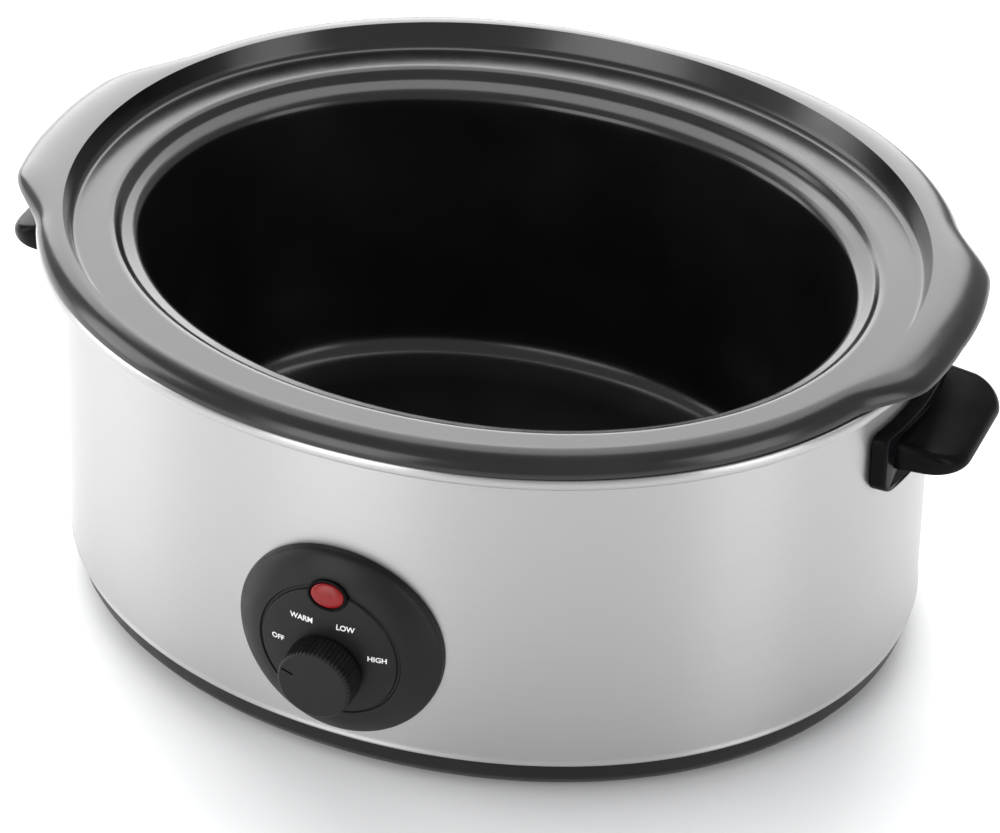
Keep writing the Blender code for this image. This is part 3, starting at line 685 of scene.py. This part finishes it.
def make_knob(material):
    """A knurled cap with a pointer groove in its face, which points at OFF when the knob is at rest."""
    teeth, tooth_depth = 56, 0.28
    steps = teeth * 6
    low, face = 12.9, 23.5
    off_angle = math.radians(-70)
    half, inner, outer = 0.45, 8.2, 12.9
    keys = [
        (1.0, 20.9, 0, 0),
        (11.6, 20.9, 0, 0.3),
        (12.0, low + 0.2, 0, 0.2),
        (12.4, low, 0, 0.2),
        (14.3, low, 0.6, 0.2),
        (14.6, low + 0.4, 1, 0.2),
        (14.4, face - 1.0, 1, 0.7),
        (13.4, face - 0.02, 0.15, 0.5),
        (12.9, face, 0, 0.3),
        (1.0, face, 0, 0),
    ]
    rings = []
    for radius, height, knurl in filleted(keys):
        ring = []
        for i in range(steps):
            angle = 2 * math.pi * i / steps
            reach = radius - tooth_depth * knurl * (1 - math.cos(teeth * angle))
            ring.append((reach * math.sin(angle), -WALL_B - height, KNOB_Z + reach * math.cos(angle)))
        rings.append(ring)
    mesh = mesh_of("control_knob", *skin(rings))
    knob = finished("control_knob", mesh, material, None, sharp=50)
    turn = Matrix.Rotation(off_angle, 3, "Y")
    corners = []
    for depth in (-face + 0.6, -face - 1):
        outline = ((-half, inner), (half, inner), (half, outer), (-half, outer))
        ring = [turn @ Vector((x, 0, z)) for x, z in outline]
        corners.append([point + Vector((0, -WALL_B + depth, KNOB_Z)) for point in ring])
    groove = finished("groove", mesh_of("groove", *skin(corners)), material, None)
    boolean(knob, groove, "DIFFERENCE")
    knob.data.shade_smooth()
    knob.data.set_sharp_from_angle(angle=math.radians(50))
    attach(knob, "dial")
    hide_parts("knob")


def make_labels(material):
    """The four settings round the knob, as thin print on the dial's face."""
    letter_height, thickness, sunk = 3.0, 0.12, 0.05
    words = (("OFF", -69.5, 20.8), ("WARM", -27, 21.6), ("LOW", 21, 20.8), ("HIGH", 66, 21.4))
    for word, angle, reach in words:
        x = reach * math.sin(math.radians(angle))
        z = KNOB_Z + reach * math.cos(math.radians(angle))
        text = bpy.data.curves.new(f"print_{word}", "FONT")
        text.body = word
        text.size = letter_height
        text.offset = 0.06
        text.align_x, text.align_y = "CENTER", "CENTER"
        text.resolution_u = 4
        maker = bpy.data.objects.new("maker", text)
        bpy.context.scene.collection.objects.link(maker)
        bpy.context.view_layer.update()
        graph = bpy.context.evaluated_depsgraph_get()
        mesh = bpy.data.meshes.new_from_object(maker.evaluated_get(graph))
        bpy.data.objects.remove(maker, do_unlink=True)
        shape = bmesh.new()
        shape.from_mesh(mesh)
        bmesh.ops.remove_doubles(shape, verts=shape.verts, dist=0.001)
        grown = bmesh.ops.extrude_face_region(shape, geom=shape.faces[:])
        for vertex in [item for item in grown["geom"] if isinstance(item, bmesh.types.BMVert)]:
            vertex.co.z += thickness
        for vertex in shape.verts:
            across, up, out = vertex.co
            radius = math.hypot(x + across, z + up - BEZEL_Z)
            vertex.co = (x + across, -WALL_B - dial_height(radius) - out + sunk, z + up)
        shape.to_mesh(mesh)
        shape.free()
        mesh.materials.clear()
        finished(f"print_{word}", mesh, material, "housing", sharp=20)


# ---------------------------------------------------------------- small pieces


def make_feet(material):
    keys = [
        (1, 0, 0),
        (9.4, 0, 0.6),
        (10.2, 0.5, 0.5),
        (11.0, 1.6, 0.8),
        (11.0, 3.7, 0.3),
        (1, 3.7, 0),
    ]
    section = filleted(keys)
    for name in ("foot_front_left", "foot_front_right", "foot_rear_left", "foot_rear_right"):
        low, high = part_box(name)
        centre = (low + high) / 2 / MM
        origin = (centre.x, centre.y - CENTRE_Y, 0)
        said = {"replaces": [name], "slot": "rubber", "sharp": 60}
        turned(f"rubber_{name}", section, material, "housing", origin, (0, 0, 1), **said)


def make_gland(material):
    keys = [
        (3.5, 142.6, 0.3),
        (7.6, 142.6, 1.0),
        (9.2, 140.8, 0.6),
        (9.2, 138.8, 0.2),
        (6.2, 138.8, 0.2),
        (6.2, 137.0, 0.2),
        (7.6, 137.0, 0.2),
        (7.2, 134.5, 0.3),
        (3.5, 134.5, 0.3),
    ]
    section = filleted(keys, True)
    origin = (0, 0, middle("cord_gland", Z_AXIS))
    said = {"replaces": ["cord_gland"], "slot": "rubber", "sharp": 50}
    turned("cord_grommet", section, material, "housing", origin, (0, 1, 0), closed_section=True, **said)


def paint_inside(materials):
    """Gives each CAD node that stays its finished material."""
    slots = {part["node"]: part["material_slot"] for part in frame["record"]["subparts"]}
    for name, piece in frame["nodes"].items():
        piece.data.materials.clear()
        piece.data.materials.append(materials[slots[name]])


# ---------------------------------------------------------------- room


def area_light(name, place, aim, size, power_watts):
    data = bpy.data.lights.new(name, "AREA")
    data.shape = "RECTANGLE"
    data.size, data.size_y = size
    data.energy = power_watts
    light = bpy.data.objects.new(name, data)
    light.location = place
    light.rotation_mode = "QUATERNION"
    light.rotation_quaternion = (Vector(aim) - Vector(place)).to_track_quat("-Z", "Y")
    bpy.context.scene.collection.objects.link(light)


def make_room():
    """A pale floor, big soft lights behind and above, and three upright panels round the front."""
    made, tree, shader = base_material("floor_white", (0.9, 0.9, 0.9), 0.6)
    vary_colour(tree, shader, noise(tree, 3), (0.895, 0.895, 0.895), (0.905, 0.905, 0.905))
    half = 6.0
    corners = [(-half, -half, 0), (half, -half, 0), (half, half, 0), (-half, half, 0)]
    mesh = mesh_of("floor", corners, [(0, 1, 2, 3)])
    mesh.materials.append(made)
    floor = bpy.data.objects.new("floor", mesh)
    bpy.context.scene.collection.objects.link(floor)
    aim = (0, 0, 0.1)
    area_light("light_back", (-1.35, 2.0, 1.3), aim, (3.4, 2.5), 125)
    area_light("light_top", (-0.2, 1.0, 2.2), aim, (2.4, 1.6), 34)
    distance, height = 2.0, 0.75
    panels = (("light_left", -72, 16), ("light_front", -18, 15), ("light_right", 70, 11))
    for name, turn, power_watts in panels:
        angle = math.radians(turn)
        place = (distance * math.sin(angle), -distance * math.cos(angle), height)
        area_light(name, place, aim, (0.9, 1.5), power_watts)
    world = bpy.data.worlds.new("studio")
    bpy.context.scene.world = world
    world.use_nodes = True
    background = world.node_tree.nodes["Background"]
    background.inputs["Color"].default_value = (0.97, 0.98, 1.0, 1)
    background.inputs["Strength"].default_value = 0.68
    bpy.context.scene.view_settings.view_transform = "Standard"


add_camera()
steel = steel_material()
glaze = glaze_material()
near_black = (0.005, 0.005, 0.0055)
jet_black = (0.003, 0.003, 0.0035)
dial_plastic = plastic_material("dial_plastic", near_black, 0.4, 0.5, shine=0.22)
MATERIALS = {
    "glaze": glaze,
    "steel": steel,
    "base_plastic": plastic_material("base_plastic", near_black, 0.35, 0.45, shine=0.25),
    "handle_plastic": plastic_material("handle_plastic", jet_black, 0.2, 0.27, height=0.00001, shine=0.05),
    "dial_plastic": dial_plastic,
    "lens": lens_material(),
    "rubber": plastic_material("rubber", (0.02, 0.02, 0.02), 0.7, 0.85),
    "aluminium": metal_material("aluminium", (0.72, 0.72, 0.73), 0.3, 0.45),
    "mica": plastic_material("mica", (0.36, 0.29, 0.18), 0.5, 0.7),
    "zinc": metal_material("zinc", (0.6, 0.61, 0.62), 0.28, 0.42),
    "switch_plastic": plastic_material("switch_plastic", (0.55, 0.53, 0.46), 0.4, 0.55, lighter=1.1),
    "lamp_glass": plastic_material("lamp_glass", (0.7, 0.6, 0.5), 0.05, 0.1),
    "wire_brown": plastic_material("wire_brown", (0.13, 0.05, 0.02), 0.4, 0.5),
    "wire_blue": plastic_material("wire_blue", (0.02, 0.07, 0.35), 0.4, 0.5),
    "wire_green": plastic_material("wire_green", (0.06, 0.25, 0.04), 0.4, 0.5),
}
paint_inside(MATERIALS)
make_crock(glaze)
make_wall(steel)
make_base(MATERIALS["base_plastic"])
make_liner(MATERIALS["aluminium"])
make_handles(MATERIALS["handle_plastic"])
make_bezel(dial_plastic)
make_lens(MATERIALS["lens"], MATERIALS["handle_plastic"])
make_knob(dial_plastic)
make_labels(plastic_material("white_print", (0.75, 0.75, 0.75), 0.5, 0.6, lighter=1.02))
make_feet(MATERIALS["rubber"])
make_gland(MATERIALS["rubber"])
make_room()
